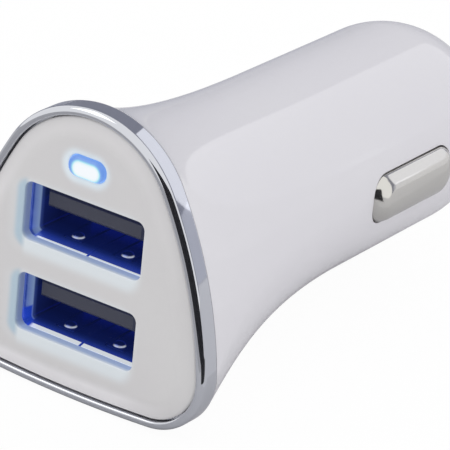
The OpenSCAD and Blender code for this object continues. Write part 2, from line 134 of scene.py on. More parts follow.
def sheet(name, centre, along, across, colour, shown=True):
    """A flat card that spans two vectors from its centre. A hidden one shows only in gloss."""
    bm = bmesh.new()
    bmesh.ops.create_grid(bm, x_segments=1, y_segments=1, size=1)
    for v in bm.verts:
        v.co = Vector(centre) + Vector(along) * v.co.x + Vector(across) * v.co.y
    card = bpy.data.objects.new(name, bpy.data.meshes.new(name))
    bm.to_mesh(card.data)
    bm.free()
    made, tree, shader = finish_of(name + "_paper", colour, Roughness=0.9)
    card.data.materials.append(made)
    if not shown:
        card.visible_camera = card.visible_diffuse = card.visible_shadow = False
        card.visible_transmission = False
    bpy.context.scene.collection.objects.link(card)
    return tree, shader


# The paper is nearly all white emission to the eye, and the rest keeps the plug's shadow.
tree, shader = sheet("floor", (0, 0, floor_z), (floor_half, 0, 0), (0, floor_half, 0), "#FAFAFA")
part = add(tree, "ShaderNodeMath", {0: seen_directly(tree), 1: whitened}, operation="MULTIPLY")
white = add(tree, "ShaderNodeEmission", {"Color": (1, 1, 1, 1), "Strength": 1.0})
paper = add(tree, "ShaderNodeMixShader", {0: part.outputs[0], 1: shader.outputs[0],
                                          2: white.outputs[0]})
tree.links.new(paper.outputs[0], tree.nodes["Material Output"].inputs["Surface"])

# What only gloss sees of the room: each card's middle over the floor, its half length, half
# height and colour, in mm. The light ones draw the plug's bright bands, the dark ones the black
# line in the ring and in the contact's ramp.
cards = (
    ("table_card", (0, 0, 0.1), (1400, 0, 0), (0, 1400, 0), "#C8C8CA"),
    ("bright_card", (428, 180, 0.2), (400, 0, 0), (0, 240, 0), "#D2D2D4"),
    ("grey_card", (480, 500, 84), (110, 0, 0), (0, 0, 84), "#CACCD6"),
    ("low_card", (58, 100, 17), (43, 0, 0), (0, 0, 15), "#F0F0F2"),
    ("front_card", (-300, -340, 0.2), (450, 0, 0), (0, 280, 0), "#AEAEB0"),
    ("left_card", (-250, 230, 0.3), (200, 0, 0), (0, 200, 0), "#9A9CA8"),
    ("backdrop_card", (-100, 620, 600), (1200, 0, 0), (0, 0, 610), "#9496A2"),
    ("dark_card", (37, -58.4, 23), (24, 21.6, 0), (0, 0, 23), "#26262A"),
    ("dark_foot", (43, -45, 0.5), (14, 12.6, 0), (5, -5.6, 0), "#26262A"),
)
for name, (x, y, height), along, across, colour in cards:
    place = Vector((x, y, height)) * mm + Vector((0, 0, floor_z))
    sheet(name, place, Vector(along) * mm, Vector(across) * mm, colour, shown=False)

# Each lamp's shape, place, aim and size in metres, and its power in watts.
lamps = {
    "softbox_behind": ("DISK", (0.2, 0.45, 0.3), (0.2, 0, 0.3), 0.54, 0.51),
    "softbox_left": ("SQUARE", (-0.3, -0.25, 0.45), (0, -0.01, 0), 0.3, 0.35),
}
for name, (shape, place, towards, size, watts) in lamps.items():
    light = bpy.data.lights.new(name, "AREA")
    light.shape, light.size, light.energy = shape, size, watts
    lamp = bpy.data.objects.new(name, light)
    lamp.rotation_euler = (Vector(place) - Vector(towards)).to_track_quat("Z", "Y").to_euler()
    lamp.location = place
    bpy.context.scene.collection.objects.link(lamp)

world = bpy.data.worlds.new("studio")
bpy.context.scene.world = world
world.use_nodes = True
tree = world.node_tree
room = add(tree, "ShaderNodeMix", {"Factor": seen_directly(tree), 6: linear("#F1F1F3"),
                                   7: (1, 1, 1, 1)}, data_type="RGBA")
tree.links.new(room.outputs[2], tree.nodes["Background"].inputs["Color"])


# Main shell. One moulding in glossy white ABS and polycarbonate: a flared head that becomes a
# round barrel, and a rounded nose with a hole for the centre pin. Two windows take the contacts.
top_r, top_z, side_r = 9.5, 5.3, 41
corner_r, corner_x, corner_z = 5.2, 8.4, -6.6
bottom_r = 135
ring_w = 0.84
band_depth = 2.25
barrel_r, draft = 10.4, 0.05
flare_end, draft_end, barrel_end, nose_end = 32, 47.2, 50.4, 59.4
wall, bore_r = 1.6, 8.8
flare_len = 34.2
under_lag, over_lead = 1.05, 0.07
nose_arc_r = 10.5
shell_step = 0.03
shell_off = ring_w - shell_step
rebate_depth, rebate_end, bore_start = 1.3, 3.6, 4.6
pin_hole_r, pin_hole_y, pocket_r = 3.2, 57.2, 5.2
end_edge_r, hole_edge_r = 0.15, 0.25
contact_l, contact_w = 13.6, 4.9
window_gap, window_r = 0.15, 2.15
window_depth = (7, 13)


def outline():
    """The head's outline as arcs: each sample is a centre, a radius and a normal angle."""
    arch, corner = Vector((0, top_z)), Vector((corner_x, corner_z))
    link = corner - arch
    far, near = side_r - top_r, side_r - corner_r
    along = (link.length_squared + far ** 2 - near ** 2) / (2 * link.length)
    across = sqrt(far ** 2 - along ** 2)
    side = arch + (along * link + across * Vector((link.y, -link.x))) / link.length
    under = Vector((0, corner_z + sqrt((bottom_r - corner_r) ** 2 - corner_x ** 2)))
    turns = [pi / 2] + [atan2(*(b - a).yx)
                        for a, b in ((side, arch), (side, corner), (under, corner))]
    arcs = ((arch, top_r, 40), (side, side_r, 24), (corner, corner_r, 40), (under, bottom_r, 12))
    half = [(centre, radius, start + (end - start) * i / count)
            for (centre, radius, count), start, end in zip(arcs, turns, turns[1:] + [-pi / 2])
            for i in range(count)]
    mirrored = [(Vector((-c.x, c.y)), r, pi - t) for c, r, t in reversed(half[1:])]
    return half + [(under, bottom_r, -pi / 2)] + mirrored


rim = outline()


def section(y, share=0.0, grow=0.0, inward=0.0):
    """The outline at y, blended towards the barrel: its centres move to the axis, below last."""
    ring = []
    for centre, radius, turn in rim:
        w = share ** (1 + (under_lag if sin(turn) < 0 else -over_lead) * sin(turn) ** 2)
        size = (1 - w) * (radius + grow) + w * (barrel_r + draft) - inward
        x, z = (1 - w) * centre + size * Vector((cos(turn), sin(turn)))
        ring.append(Vector((x, y - contact_y, z)) * mm)
    return ring


def circle(y, radius):
    """A ring about the plug axis, with the outline's own spacing."""
    return [Vector((radius * cos(t), y - contact_y, radius * sin(t))) * mm for _, _, t in rim]


def skin(bm, rings, closed=False):
    """Skins like rings of points with a grid, whose seam is welded, and returns its faces."""
    rows = rings + rings[:1] if closed else rings
    count, last = len(rows[0]), len(rows) - 1
    made = bmesh.ops.create_grid(bm, x_segments=count, y_segments=last, size=1)["verts"]
    faces = list({f for v in made for f in v.link_faces})
    for v in made:
        i = round((v.co.x + 1) / 2 * count) % count
        v.co = rows[round((v.co.y + 1) / 2 * last)][i]
    bmesh.ops.remove_doubles(bm, verts=made, dist=1e-7)
    return [f for f in faces if f.is_valid]


def piece(bm, name, body, made_of, sharp=32):
    """Turns a bmesh into a smooth-shaded piece that rides on a body."""
    bmesh.ops.recalc_face_normals(bm, faces=bm.faces)
    mesh = bpy.data.meshes.new(name)
    bm.to_mesh(mesh)
    bm.free()
    for polygon in mesh.polygons:
        polygon.use_smooth = True
    mesh.set_sharp_from_angle(angle=radians(sharp))
    mesh.materials.append(made_of)
    thing = bpy.data.objects.new(name, mesh)
    bpy.context.scene.collection.objects.link(thing)
    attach(thing, body)
    return thing


def rounded(w, h, r, steps=8):
    """A rounded rectangle as points, clockwise from the top of its right side."""
    corners = ((1, 1), (1, -1), (-1, -1), (-1, 1))
    return [Vector((sx * (w / 2 - r) + r * cos(t), sz * (h / 2 - r) + r * sin(t)))
            for q, (sx, sz) in enumerate(corners)
            for t in [pi / 2 * (1 - q - i / steps) for i in range(steps + 1)]]


def cut(thing, bm):
    """Cuts the closed shape in bm out of a piece."""
    bmesh.ops.recalc_face_normals(bm, faces=bm.faces)
    tool = bpy.data.objects.new("cutter", bpy.data.meshes.new("cutter"))
    bm.to_mesh(tool.data)
    bm.free()
    bpy.context.scene.collection.objects.link(tool)
    modifier = thing.modifiers.new("cut", "BOOLEAN")
    modifier.object, modifier.solver = tool, "EXACT"
    bpy.context.view_layer.update()
    evaluated = thing.evaluated_get(bpy.context.evaluated_depsgraph_get())
    result = bpy.data.meshes.new_from_object(evaluated)
    thing.modifiers.clear()
    thing.data = result
    bpy.data.objects.remove(tool)


def swell(y):
    """The flare's course: steep behind the ring, flat where it meets the barrel."""
    return (1 - (1 - (y - band_depth) / flare_len) ** 2.7) ** 0.9


def share_at(y):
    """The barrel's share in the section at y: 0 at the ring, 1 at the flare's end."""
    return swell(y) / swell(flare_end)


moulded_white, tree, shader = finish_of("moulded_gloss_white", "#DDDBDF", Roughness=0.06, IOR=1.5)
place = add(tree, "ShaderNodeTexCoord").outputs["Object"]
# Polished tool steel leaves a faint ripple about 3 mm long, and the resin clouds a little.
ripple = add(tree, "ShaderNodeTexNoise", {"Vector": place, "Scale": 1 / (3 * mm), "Detail": 1.0})
relief = add(tree, "ShaderNodeBump", {"Height": ripple.outputs["Fac"], "Strength": 0.02,
                                      "Distance": 0.1 * mm})
tree.links.new(relief.outputs["Normal"], shader.inputs["Normal"])
cloud = add(tree, "ShaderNodeTexNoise", {"Vector": place, "Scale": 1 / (14 * mm), "Detail": 2.0})
tone = add(tree, "ShaderNodeMix", {"Factor": cloud.outputs["Fac"], 6: linear("#DBD9DE"),
                                   7: linear("#DEDDE0")}, data_type="RGBA")
tree.links.new(tone.outputs[2], shader.inputs["Base Color"])

# Rings of points from the ring's band back to the nose, then inside again to the rebate.
stations = [band_depth + (flare_end - band_depth) * (i / 44) ** 1.4 for i in range(45)]
nose_turn = asin((nose_end - barrel_end) / nose_arc_r)
nose_flat_r = barrel_r - nose_arc_r + nose_arc_r * cos(nose_turn)
outer = [section(y, share_at(y), shell_off) for y in stations]
outer += [circle(flare_end + (draft_end - flare_end) * i / 8, barrel_r + draft * (1 - i / 8))
          for i in range(1, 9)]
outer += [circle(draft_end + (barrel_end - draft_end) * i / 4, barrel_r) for i in range(1, 5)]
outer += [circle(barrel_end + nose_arc_r * sin(nose_turn * i / 24),
                 barrel_r - nose_arc_r * (1 - cos(nose_turn * i / 24))) for i in range(1, 24)]
outer += [circle(nose_end - end_edge_r * (1 - sin(t)), nose_flat_r - end_edge_r * (1 - cos(t)))
          for t in (0.2, 0.7, 1.2, pi / 2)]
outer += [circle(nose_end - hole_edge_r * (1 - cos(t)), pin_hole_r + hole_edge_r * (1 - sin(t)))
          for t in (0, 0.5, 1, pi / 2)]
inner = [circle(pin_hole_y, pin_hole_r), circle(pin_hole_y, pocket_r)]
inner += [circle(barrel_end, pocket_r), circle(barrel_end, bore_r)]
inner += [section(y, share_at(y), shell_off, wall)
          for y in reversed(stations[::4]) if y > bore_start]
inner += [section(y, 0, shell_off - rebate_depth) for y in (rebate_end, band_depth)]
bm = bmesh.new()
skin(bm, outer + inner, closed=True)
shell = piece(bm, "shell_moulding", "housing", moulded_white)

for side in (-1, 1):
    bm = bmesh.new()
    window = rounded(contact_l + 2 * window_gap, contact_w + 2 * window_gap, window_r)
    loops = [[Vector((side * x, p.x, p.y)) * mm for p in window] for x in window_depth]
    skin(bm, loops)
    bmesh.ops.holes_fill(bm, edges=bm.edges, sides=0)
    cut(shell, bm)
shell.data.set_sharp_from_angle(angle=radians(32))
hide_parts("main_shell")


# Trim ring. Bright chrome over moulded ABS, with a rounded front and a flat band round the
# head. Its spigot enters the shell and carries the face plate.
ring_drop = 0.65
plate_seat = 1.2
spigot_off, spigot_t, spigot_end = -0.6, 0.75, 3.3
chrome, tree, shader = finish_of("chrome_plated_abs", "#D5D7DD", Metallic=1.0, Roughness=0.05)
place = add(tree, "ShaderNodeTexCoord").outputs["Object"]
# Plating levels the moulding but leaves long, shallow waves in it.
waves = add(tree, "ShaderNodeTexNoise", {"Vector": place, "Scale": 1 / (5 * mm), "Detail": 1.0})
relief = add(tree, "ShaderNodeBump", {"Height": waves.outputs["Fac"], "Strength": 0.05,
                                      "Distance": 0.2 * mm})
tree.links.new(relief.outputs["Normal"], shader.inputs["Normal"])

# Its section: a small inner rounding, the long outer one, the band with a broken edge at the
# shell, and the spigot. A loop of points just before that edge keeps the band's gloss flat.
crest, inner_drop = 0.2, 0.18
seam_gap, broken_edge, loop_gap = 0.03, 0.07, 0.06
seam_y = band_depth - seam_gap
profile = [(crest * (1 - cos(t)), inner_drop * (1 - sin(t)))
           for t in [pi / 2 * i / 6 for i in range(6)]]
profile += [(crest + (ring_w - crest) * sin(t), ring_drop * (1 - cos(t)))
            for t in [pi / 2 * i / 14 for i in range(15)]]
profile += [(ring_w, seam_y - broken_edge - loop_gap), (ring_w, seam_y - broken_edge),
            (ring_w - broken_edge, seam_y), (spigot_off, seam_y), (spigot_off, spigot_end)]
profile += [(spigot_off - spigot_t, y) for y in (spigot_end, plate_seat)] + [(0, plate_seat)]
bm = bmesh.new()
skin(bm, [section(y, 0, grow) for grow, y in profile], closed=True)
ring = piece(bm, "bright_ring", "housing", chrome, sharp=50)
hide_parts("trim_ring")


# Face plate. A white panel of the same plastic, with a sloping border, two port openings with
# softened edges and a window for the indicator. It snaps into the trim ring's spigot.
port_w, port_h, port_r = 13.3, 5.7, 0.8
port_mid_z, port_pitch = -0.45, 9
port_zs = [port_mid_z + port_pitch / 2, port_mid_z - port_pitch / 2]
lens_z, lens_w, lens_h, lens_out = 10.1, 4.1, 2.1, 0.4
border_w, border_drop = 2.05, 0.32
plate_back = 1.1
skirt_off, skirt_t, skirt_end = -1.45, 0.8, 2.9
lip_r, lip_flat = 0.12, 0.1
lens_hole_r = lens_h / 2 - 0.05


def shade_off(tree, place, centre, half, corner, reach):
    """1 inside a rounded rectangle on the face, falling to 0 over reach outside it, in mm."""
    local = add(tree, "ShaderNodeVectorMath", {0: place, 1: (-centre[0] * mm, 0, -centre[1] * mm)},
                operation="ADD")
    positive = add(tree, "ShaderNodeVectorMath", {0: local.outputs[0]}, operation="ABSOLUTE")
    core = ((half[0] - corner) * mm, 1, (half[1] - corner) * mm)
    past = add(tree, "ShaderNodeVectorMath", {0: positive.outputs[0], 1: core},
               operation="SUBTRACT")
    kept = add(tree, "ShaderNodeVectorMath", {0: past.outputs[0], 1: (0, 0, 0)},
               operation="MAXIMUM")
    far = add(tree, "ShaderNodeVectorMath", {0: kept.outputs[0]}, operation="LENGTH")
    fade = add(tree, "ShaderNodeMapRange", {"Value": far.outputs["Value"], "From Min": corner * mm,
               "From Max": (corner + reach) * mm, "To Min": 1.0, "To Max": 0.0},
               interpolation_type="SMOOTHERSTEP")
    return fade.outputs["Result"]


white_with_painted_glow, tree, shader = finish_of("face_white_painted_glow", "#D1CFCF", Roughness=0.2, IOR=1.5,
                                    Emission_Strength=0.45)
place = add(tree, "ShaderNodeTexCoord").outputs["Object"]
cloud = add(tree, "ShaderNodeTexNoise", {"Vector": place, "Scale": 1 / (9 * mm), "Detail": 2.0})
tone = add(tree, "ShaderNodeMix", {"Factor": cloud.outputs["Fac"], 6: linear("#D2D0D0"),
                                   7: linear("#D5D4D3")}, data_type="RGBA")
# Painted light: the sloping border is painted paler, most of all at the lower left.
parts = add(tree, "ShaderNodeSeparateXYZ", {"Vector": place})
in_slope = add(tree, "ShaderNodeMapRange", {"Value": parts.outputs["Y"],
               "From Min": -contact_y * mm, "From Max": (0.15 - contact_y) * mm})
from_right = add(tree, "ShaderNodeMapRange", {"Value": parts.outputs["X"], "From Min": 5 * mm,
                 "From Max": 11 * mm, "To Min": 1.0, "To Max": 0.0})
from_top = add(tree, "ShaderNodeMapRange", {"Value": parts.outputs["Z"], "From Min": -9 * mm,
               "From Max": 9 * mm, "To Min": 1.0, "To Max": 0.25})
painted_border_light = add(tree, "ShaderNodeMath", {0: in_slope.outputs[0], 1: from_right.outputs[0]},
            operation="MULTIPLY")
painted_border_light = add(tree, "ShaderNodeMath", {0: painted_border_light.outputs[0], 1: from_top.outputs[0]},
            operation="MULTIPLY")
tone = add(tree, "ShaderNodeMix", {"Factor": painted_border_light.outputs[0], 6: tone.outputs[2],
                                   7: linear("#EAE8E9")}, data_type="RGBA")
# Painted light: the lamps' light that leaks through the thin plastic beside each opening is
# painted in. A painted glow whitens the face below, a painted tint marks it on the left, and the
# walls of the opening are painted blue. So each glow's centre lies lower and further left than its
# opening, and its last number is how far it reaches.
window_glow = shade_off(tree, place, (-0.15, lens_z - 0.1), (lens_w / 2, lens_h / 2),
                        lens_h / 2, 1.2)
port_glow = [shade_off(tree, place, (-0.35, z - 0.3), (port_w / 2, port_h / 2), port_r, 0.9)
             for z in port_zs]
either = add(tree, "ShaderNodeMath", {0: port_glow[0], 1: port_glow[1]}, operation="MAXIMUM")
on_left = add(tree, "ShaderNodeMapRange", {"Value": parts.outputs["X"],
              "From Min": -port_w / 2 * mm, "From Max": (-port_w / 2 + 0.5) * mm,
              "To Min": 1.0, "To Max": 0.0})
in_wall = add(tree, "ShaderNodeMapRange", {"Value": parts.outputs["Y"], "From Min": -contact_y * mm,
              "From Max": (0.5 - contact_y) * mm})
left_share = add(tree, "ShaderNodeMath", {0: either.outputs[0], 1: on_left.outputs[0]},
                 operation="MULTIPLY")
wall_share = add(tree, "ShaderNodeMath", {0: either.outputs[0], 1: in_wall.outputs[0]},
                 operation="MULTIPLY")
painted_left_tint = add(tree, "ShaderNodeMix", {"Factor": left_share.outputs[0], 6: tone.outputs[2],
                                     7: linear("#B2C4D0")}, data_type="RGBA")
painted_wall_light = add(tree, "ShaderNodeMix", {"Factor": on_left.outputs[0], 6: linear("#B8C0D0"),
                                        7: linear("#98A6C8")}, data_type="RGBA")
tone_with_painted_light = add(tree, "ShaderNodeMix", {"Factor": wall_share.outputs[0], 6: painted_left_tint.outputs[2],
                                     7: painted_wall_light.outputs[2]}, data_type="RGBA")
tree.links.new(tone_with_painted_light.outputs[2], shader.inputs["Base Color"])
ports_strength, left_strength, glow_curve = 0.75, 0.35, 1.5
spread = [shade_off(tree, place, (-0.8, z - 0.6), (port_w / 2, port_h / 2), port_r, 1.6)
          for z in port_zs]
below = add(tree, "ShaderNodeMath", {0: spread[0], 1: spread[1]}, operation="MAXIMUM")
ports_share = add(tree, "ShaderNodeMath", {0: below.outputs[0], 1: ports_strength},
                  operation="MULTIPLY")
faint = add(tree, "ShaderNodeMapRange", {"Value": on_left.outputs[0], "To Min": 1.0,
            "To Max": left_strength})
ports_share = add(tree, "ShaderNodeMath", {0: ports_share.outputs[0], 1: faint.outputs[0]},
                  operation="MULTIPLY")
both = add(tree, "ShaderNodeMath", {0: window_glow, 1: ports_share.outputs[0]}, operation="MAXIMUM")
softer = add(tree, "ShaderNodeMath", {0: both.outputs[0], 1: glow_curve}, operation="POWER")
painted_glow_colour = add(tree, "ShaderNodeMix", {"Factor": in_wall.outputs[0], 6: linear("#8FB2C0"),
                                       7: linear("#6C98D8")}, data_type="RGBA")
glow = add(tree, "ShaderNodeMix", {"Factor": softer.outputs[0], 6: (0, 0, 0, 1),
                                   7: painted_glow_colour.outputs[2]}, data_type="RGBA")
tree.links.new(glow.outputs[2], shader.inputs["Emission Color"])


def hole_rings(w, h, r, z):
    """The wall of an opening, from the panel's back to a softened lip at the face."""
    lip = [(lip_r * (1 - cos(t)), lip_r * (1 - sin(t))) for t in (0.4, 0.8, 1.2, pi / 2)]
    return [[Vector((p.x, y - contact_y, p.y + z)) * mm
             for p in rounded(w + 2 * grow, h + 2 * grow, r + grow)]
            for grow, y in [(0, plate_back), (0, lip_r)] + lip + [(lip_r + lip_flat, 0)]]


# The rim's section runs from the back over the skirt and the rounded edge up the border, which
# eases into the flat.
bm = bmesh.new()
rim_gap, rim_r = 0.12, 0.24
slope_from = -rim_gap - rim_r
slope_w = border_w + slope_from
slope = [(slope_from - slope_w * s, border_drop * (1 - s)) for s in (0, 0.4, 0.8)]
slope += [(slope_from - slope_w * (0.85 + 0.3 * s), border_drop * 0.15 * (1 - s) ** 2)
          for s in [i / 5 for i in range(6)]]
edge = [(-rim_gap - rim_r * (1 - sin(t)), border_drop + rim_r * (1 - cos(t)))
        for t in (pi / 2, 1.1, 0.6)]
profile = [(skirt_off - skirt_t, plate_back), (skirt_off - skirt_t, skirt_end),
           (skirt_off, skirt_end), (skirt_off, plate_seat), (-rim_gap, plate_seat)]
profile += edge + slope
skin(bm, [section(y, 0, grow) for grow, y in profile])
for z in port_zs:
    skin(bm, hole_rings(port_w, port_h, port_r, z))
skin(bm, hole_rings(lens_w, lens_h, lens_hole_r, lens_z))
for y in (0, plate_back):
    level_y = (y - contact_y) * mm
    open_edges = [e for e in bm.edges if e.is_boundary
                  and all(abs(v.co.y - level_y) < 1e-6 for v in e.verts)]
    bmesh.ops.triangle_fill(bm, edges=open_edges, use_beauty=True, normal=(0, -1, 0))
face = piece(bm, "face_panel", "housing", white_with_painted_glow)
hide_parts("face_plate")


# Indicator window. Clear polycarbonate light pipe, slightly crowned in front and lit evenly
# from behind, so it reads near-white with a blue rim.
glowing, tree, shader = finish_of("lit_clear_polycarbonate", "#10161E", Roughness=0.15, IOR=1.4,
                                  Emission_Strength=0.97)
place = add(tree, "ShaderNodeTexCoord").outputs["Object"]
core = shade_off(tree, place, (0.1, lens_z - 0.1), (lens_w / 2 - 1, lens_h / 2 - 0.75), 0.3, 0.85)
tint = add(tree, "ShaderNodeValToRGB", {"Fac": core})
tint.color_ramp.elements[0].color = linear("#6F9AE6")
tint.color_ramp.elements[1].color = linear("#F6FAFE")
for at, code in ((0.12, "#7FA8EA"), (0.4, "#A8E4F2"), (0.65, "#E4F6FA")):
    tint.color_ramp.elements.new(at).color = linear(code)
tree.links.new(tint.outputs["Color"], shader.inputs["Emission Color"])
# A foot behind the plate keeps it from falling out, and its front end is rounded.
bm = bmesh.new()
end_r, lens_gap, end_flat = 0.35, 0.05, 0.03
foot_x, foot_z, foot_y = 0.5, 0.3, plate_back + 0.8
rings = [(foot_x, foot_z, foot_y), (foot_x, foot_z, plate_back), (-lens_gap, -lens_gap, plate_back)]
for t in [pi / 2 * i / 8 for i in range(9)]:
    less = -lens_gap - end_r * (1 - cos(t))
    rings.append((less, less, end_r * (1 - sin(t)) - lens_out))
loops = [[Vector((p.x, y - contact_y, p.y + lens_z)) * mm
          for p in rounded(lens_w + 2 * gx, lens_h + 2 * gz, lens_h / 2 + min(gx, gz) - end_flat)]
         for gx, gz, y in rings]
skin(bm, loops)
bmesh.ops.holes_fill(bm, edges=bm.edges, sides=0)
lens = piece(bm, "indicator_window", "housing", glowing)
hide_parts("led_lens")


# Port shells. Thin steel, nickel plated, folded round and closed by a seam underneath, with
# a flared mouth and sprung fingers. The blue light that fills them from the lamps behind is
# painted.
steel_with_painted_blue_light, tree, shader = finish_of("nickel_plated_port_steel_painted_light", "#B2B8C8", Metallic=1.0,
                                     Roughness=0.2, Emission_Strength=0.85)
place = add(tree, "ShaderNodeTexCoord").outputs["Object"]
# Each ramp runs from the mouth inwards: the painted light on the floor, the painted light on the
# left wall, and the steel's base colour, painted darker and bluer inwards as painted shade and blue
# light.
parts = add(tree, "ShaderNodeSeparateXYZ", {"Vector": place})
mouth_y = (1.15 - contact_y) * mm
ramp_reach = 4 * mm
depth = add(tree, "ShaderNodeMapRange", {"Value": parts.outputs["Y"], "From Min": mouth_y,
            "From Max": mouth_y + ramp_reach})
painted_light_ramps = {
    "floor": ("#30469E", (0.16, "#20348C"), (0.3, "#14235E"), (0.45, "#0D1848"), "#0A1238"),
    "wall": ("#2C4290", (0.04, "#2C4290"), (0.07, "#5A70AA"), (0.24, "#7A90B8"), (0.28, "#2C3C74"),
             (0.4, "#101A44"), "#0A1028"),
    "steel": ("#A0A8C4", (0.3, "#4A568C"), "#38427C"),
}
inside = {}
for name, (first, *stops, last) in painted_light_ramps.items():
    ramp = add(tree, "ShaderNodeValToRGB", {"Fac": depth.outputs["Result"]})
    ramp.color_ramp.elements[0].color = linear(first)
    ramp.color_ramp.elements[1].color = linear(last)
    for at, code in stops:
        ramp.color_ramp.elements.new(at).color = linear(code)
    inside[name] = ramp.outputs["Color"]
wall_x, floor_x, strip_x = -6.1 * mm, -5.9 * mm, -5.6 * mm
on_left = add(tree, "ShaderNodeMapRange", {"Value": parts.outputs["X"], "From Min": wall_x,
              "From Max": floor_x, "To Min": 1.0, "To Max": 0.0})
# Painted light: the foot of the lower port's left wall, inside its mouth, is painted a deeper blue
# glow.
foot_low, foot_high = -6.3 * mm, -6.1 * mm
past_lip = add(tree, "ShaderNodeMapRange", {"Value": depth.outputs["Result"], "From Min": 0.22,
               "From Max": 0.28})
corner = add(tree, "ShaderNodeMapRange", {"Value": parts.outputs["Z"], "From Min": foot_low,
             "From Max": foot_high})
corner = add(tree, "ShaderNodeMath", {0: corner.outputs[0], 1: past_lip.outputs[0]},
             operation="MAXIMUM")
painted_wall_glow = add(tree, "ShaderNodeMix", {"Factor": corner.outputs[0], 6: linear("#1C3CB0"),
                                        7: inside["wall"]}, data_type="RGBA")
blue = add(tree, "ShaderNodeMix", {"Factor": on_left.outputs[0], 6: inside["floor"],
                                   7: painted_wall_glow.outputs[2]}, data_type="RGBA")
# Painted highlight: a bright strip is painted on the lip, cut by the seam and wider on the lower
# port.
low_strip, high_strip = 0.5 * mm, 0.2 * mm
seam_half = 0.13 * mm
lip_y = add(tree, "ShaderNodeMapRange", {"Value": parts.outputs["Z"], "From Min": -2 * mm,
            "From Max": 0, "To Min": mouth_y + low_strip, "To Max": mouth_y + high_strip})
lip = add(tree, "ShaderNodeMath", {0: parts.outputs["Y"], 1: lip_y.outputs[0]},
          operation="LESS_THAN")
off_left = add(tree, "ShaderNodeMapRange", {"Value": parts.outputs["X"], "From Min": floor_x,
               "From Max": strip_x})
lip = add(tree, "ShaderNodeMath", {0: lip.outputs[0], 1: off_left.outputs[0]}, operation="MULTIPLY")
off_seam = add(tree, "ShaderNodeMath", {0: parts.outputs["X"]}, operation="ABSOLUTE")
off_seam = add(tree, "ShaderNodeMath", {0: off_seam.outputs[0], 1: seam_half},
               operation="GREATER_THAN")
lip = add(tree, "ShaderNodeMath", {0: lip.outputs[0], 1: off_seam.outputs[0]}, operation="MULTIPLY")
# A painted highlight also marks the foot of each pressed dimple, on the side that faces the mouth.
dimple_x, dimple_y, dimple_r = 2.8 * mm, (3.5 - contact_y) * mm, 0.6 * mm
shine_way, shine_strength = (0.57, -0.82, 0), 0.65
side = add(tree, "ShaderNodeMath", {0: parts.outputs["X"]}, operation="SIGN")
middle = add(tree, "ShaderNodeMath", {0: side.outputs[0], 1: dimple_x}, operation="MULTIPLY")
middle = add(tree, "ShaderNodeCombineXYZ", {"X": middle.outputs[0], "Y": dimple_y})
flat = add(tree, "ShaderNodeCombineXYZ", {"X": parts.outputs["X"], "Y": parts.outputs["Y"]})
offset = add(tree, "ShaderNodeVectorMath", {0: flat.outputs[0], 1: middle.outputs[0]},
             operation="SUBTRACT")
reach = add(tree, "ShaderNodeVectorMath", {0: offset.outputs[0]}, operation="LENGTH")
off_rim = add(tree, "ShaderNodeMath", {0: reach.outputs["Value"], 1: dimple_r},
              operation="SUBTRACT")
off_rim = add(tree, "ShaderNodeMath", {0: off_rim.outputs[0]}, operation="ABSOLUTE")
painted_dimple_highlight = add(tree, "ShaderNodeMapRange", {"Value": off_rim.outputs[0], "From Min": 0.01 * mm,
               "From Max": 0.07 * mm, "To Min": shine_strength, "To Max": 0.0})
lean = add(tree, "ShaderNodeVectorMath", {0: offset.outputs[0], 1: shine_way},
           operation="DOT_PRODUCT")
in_front = add(tree, "ShaderNodeMapRange", {"Value": lean.outputs["Value"], "From Min": 0.05 * mm,
               "From Max": 0.4 * mm})
painted_dimple_highlight = add(tree, "ShaderNodeMath", {0: painted_dimple_highlight.outputs[0], 1: in_front.outputs[0]},
               operation="MULTIPLY")
bright = add(tree, "ShaderNodeMath", {0: lip.outputs[0], 1: painted_dimple_highlight.outputs[0]},
             operation="MAXIMUM")
lit = add(tree, "ShaderNodeMix", {"Factor": bright.outputs[0], 6: blue.outputs[2],
                                  7: linear("#DCE2E8")}, data_type="RGBA")
tree.links.new(lit.outputs[2], shader.inputs["Emission Color"])
# The steel's base colour carries painted shade and painted blue light, darker and bluer inwards.
tree.links.new(inside["steel"], shader.inputs["Base Color"])
# Rolling leaves a fine unevenness, drawn at half a millimetre so that it shows.
rolled = add(tree, "ShaderNodeTexNoise", {"Vector": place, "Scale": 1 / (0.5 * mm), "Detail": 2.0})
relief = add(tree, "ShaderNodeBump", {"Height": rolled.outputs["Fac"], "Strength": 0.1,
                                      "Distance": 0.02 * mm})
tree.links.new(relief.outputs["Normal"], shader.inputs["Normal"])


# Insulators. Black glass-filled nylon, moulded as a block with the tongue that carries the
# contact strips. Each is pressed into its port shell from behind.
nylon, tree, shader = finish_of("glass_filled_nylon", "#3E404E", Roughness=0.5, IOR=1.53,
                                Emission_Color=linear("#1C3CE0"))
place = add(tree, "ShaderNodeTexCoord").outputs["Object"]
# Painted light: the block's front is painted with a blue glow at the back of the port, where the
# lamps behind it shine round it.
parts = add(tree, "ShaderNodeSeparateXYZ", {"Vector": place})
block_y = (10.3 - contact_y) * mm
lit = add(tree, "ShaderNodeMapRange", {"Value": parts.outputs["Y"], "From Min": block_y - 0.05 * mm,
          "From Max": block_y, "To Max": 0.35})
tree.links.new(lit.outputs["Result"], shader.inputs["Emission Strength"])
grain = add(tree, "ShaderNodeTexNoise", {"Vector": place, "Scale": 1 / (0.35 * mm), "Detail": 3.0})
relief = add(tree, "ShaderNodeBump", {"Height": grain.outputs["Fac"], "Strength": 0.3,
                                      "Distance": 0.03 * mm})
tree.links.new(relief.outputs["Normal"], shader.inputs["Normal"])


# Side contacts. Steel strip pressed to a crowned pill with a ramp towards the head, then
# bright nickel plated. Each is held in its window by a flange and pushed out by a leaf spring.
nickel, tree, shader = finish_of("bright_nickel_plate", "#DAD8D3", Metallic=1.0, Roughness=0.12)
place = add(tree, "ShaderNodeTexCoord").outputs["Object"]
